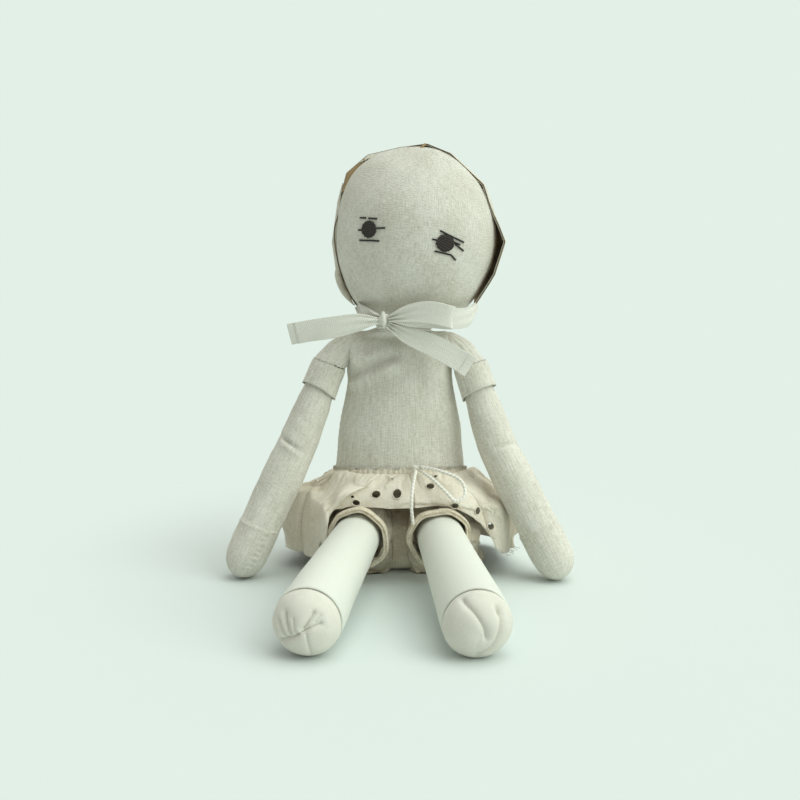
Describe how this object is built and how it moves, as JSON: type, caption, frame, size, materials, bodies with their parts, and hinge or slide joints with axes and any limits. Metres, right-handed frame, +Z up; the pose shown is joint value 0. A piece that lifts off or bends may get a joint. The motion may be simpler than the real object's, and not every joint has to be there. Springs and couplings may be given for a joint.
{
  "type": "rag doll",
  "caption": "Seated stuffed linen rag doll with jointed limbs, a tilted head in a bonnet tied under the chin, a gathered eyelet skirt and bloomers.",
  "frame": {"origin": "On the floor at the middle of the flat underside of the seat.", "axes": "+Z is up, the doll faces -Y, and its own left is +X."},
  "size_m": [0.252, 0.2749, 0.3103],
  "materials": {
    "stuffing": "loose fibre fill",
    "twill_tape": "matte herringbone twill",
    "cotton_cord": "matte twisted cord",
    "embroidery": "raised satin stitch",
    "bonnet_linen": "matte plain weave",
    "bloomer_cotton": "matte plain weave",
    "eyelet_cotton": "matte cotton with stitched eyelets",
    "leg_cotton": "smooth matte cotton",
    "linen": "matte plain weave with slubs"
  },
  "bodies": {
    "torso": {"torso_stuffing": "stuffing", "bodice": "linen", "bloomers_seat": "bloomer_cotton", "skirt": "eyelet_cotton", "waist_casing": "eyelet_cotton", "drawstring_knot": "cotton_cord", "drawstring_tail": "cotton_cord", "drawstring_loop": "cotton_cord", "tape_band": "twill_tape"},
    "neck": {"neck_stalk": "linen"},
    "neck_seam": {"neck_ring": "linen"},
    "head": {"face_panel": "linen", "head_back": "linen", "head_stuffing": "stuffing", "right_eye": "embroidery", "left_eye": "embroidery", "bonnet_right": "bonnet_linen", "bonnet_left": "bonnet_linen", "tape_strand_right": "twill_tape", "tape_strand_left": "twill_tape", "tape_knot": "twill_tape", "tape_tail_right": "twill_tape", "tape_tail_left": "twill_tape", "tape_loop": "twill_tape"},
    "right_shoulder": {"right_shoulder_tab": "linen"},
    "right_upper_arm": {"right_upper_arm": "linen", "right_upper_arm_stuffing": "stuffing", "right_sleeve": "linen", "right_cuff": "linen"},
    "right_forearm": {"right_forearm": "linen", "right_forearm_stuffing": "stuffing", "right_hand": "linen"},
    "right_hip": {"right_hip_tab": "leg_cotton"},
    "right_leg": {"right_leg": "leg_cotton", "right_leg_stuffing": "stuffing", "right_foot": "linen", "right_bloomer_leg": "bloomer_cotton", "right_bloomer_hem": "bloomer_cotton"},
    "left_shoulder": {"left_shoulder_tab": "linen"},
    "left_upper_arm": {"left_upper_arm": "linen", "left_upper_arm_stuffing": "stuffing", "left_sleeve": "linen", "left_cuff": "linen"},
    "left_forearm": {"left_forearm": "linen", "left_forearm_stuffing": "stuffing", "left_hand": "linen"},
    "left_hip": {"left_hip_tab": "leg_cotton"},
    "left_leg": {"left_leg": "leg_cotton", "left_leg_stuffing": "stuffing", "left_foot": "linen", "left_bloomer_leg": "bloomer_cotton", "left_bloomer_hem": "bloomer_cotton"}
  },
  "joints": [
    {"name": "neck_tilt", "type": "hinge", "parent": "torso", "child": "neck", "pos_m": [0.003, -0.005, 0.181], "axis": [0, 1, 0], "range_deg": [-25, 8], "stiffness_Nm_per_rad": 0.5},
    {"name": "head_nod", "type": "hinge", "parent": "neck", "child": "neck_seam", "pos_m": [0.003, -0.005, 0.181], "axis": [1, 0, 0], "range_deg": [-14, 14], "stiffness_Nm_per_rad": 0.5, "deforming": ["tape_knot", "tape_tail_right", "tape_tail_left", "tape_loop", "tape_band", "tape_strand_right", "tape_strand_left"]},
    {"name": "head_turn", "type": "hinge", "parent": "neck_seam", "child": "head", "pos_m": [0.003, -0.005, 0.181], "axis": [0.1908, 0, 0.9816], "range_deg": [-25, 45], "stiffness_Nm_per_rad": 0.3},
    {"name": "right_shoulder_swing", "type": "hinge", "parent": "torso", "child": "right_shoulder", "pos_m": [-0.048, -0.008, 0.161], "axis": [-1, 0, 0], "range_deg": [-60, 95]},
    {"name": "right_shoulder_raise", "type": "hinge", "parent": "right_shoulder", "child": "right_upper_arm", "pos_m": [-0.048, -0.008, 0.161], "axis": [0, 1, 0], "range_deg": [-2, 80]},
    {"name": "right_elbow", "type": "hinge", "parent": "right_upper_arm", "child": "right_forearm", "pos_m": [-0.07464, -0.01926, 0.09506], "axis": [-0.9272, 0, 0.3746], "range_deg": [-15, 50]},
    {"name": "right_hip_swing", "type": "hinge", "parent": "torso", "child": "right_hip", "pos_m": [-0.024, -0.008, 0.037], "axis": [1, 0, 0], "range_deg": [-20, 85], "deforming": ["skirt", "drawstring_tail", "drawstring_loop"]},
    {"name": "right_hip_spread", "type": "hinge", "parent": "right_hip", "child": "right_leg", "pos_m": [-0.024, -0.008, 0.037], "axis": [0, 0, -1], "range_deg": [-5, 20]},
    {"name": "left_shoulder_swing", "type": "hinge", "parent": "torso", "child": "left_shoulder", "pos_m": [0.048, -0.008, 0.16], "axis": [-1, 0, 0], "range_deg": [-60, 95]},
    {"name": "left_shoulder_raise", "type": "hinge", "parent": "left_shoulder", "child": "left_upper_arm", "pos_m": [0.048, -0.008, 0.16], "axis": [0, -1, 0], "range_deg": [-2, 80]},
    {"name": "left_elbow", "type": "hinge", "parent": "left_upper_arm", "child": "left_forearm", "pos_m": [0.07101, -0.02174, 0.09317], "axis": [-0.9455, 0, -0.3256], "range_deg": [-15, 50]},
    {"name": "left_hip_swing", "type": "hinge", "parent": "torso", "child": "left_hip", "pos_m": [0.024, -0.008, 0.037], "axis": [1, 0, 0], "range_deg": [-20, 85], "deforming": ["skirt"]},
    {"name": "left_hip_spread", "type": "hinge", "parent": "left_hip", "child": "left_leg", "pos_m": [0.024, -0.008, 0.037], "axis": [0, 0, 1], "range_deg": [-5, 20]}
  ]
}
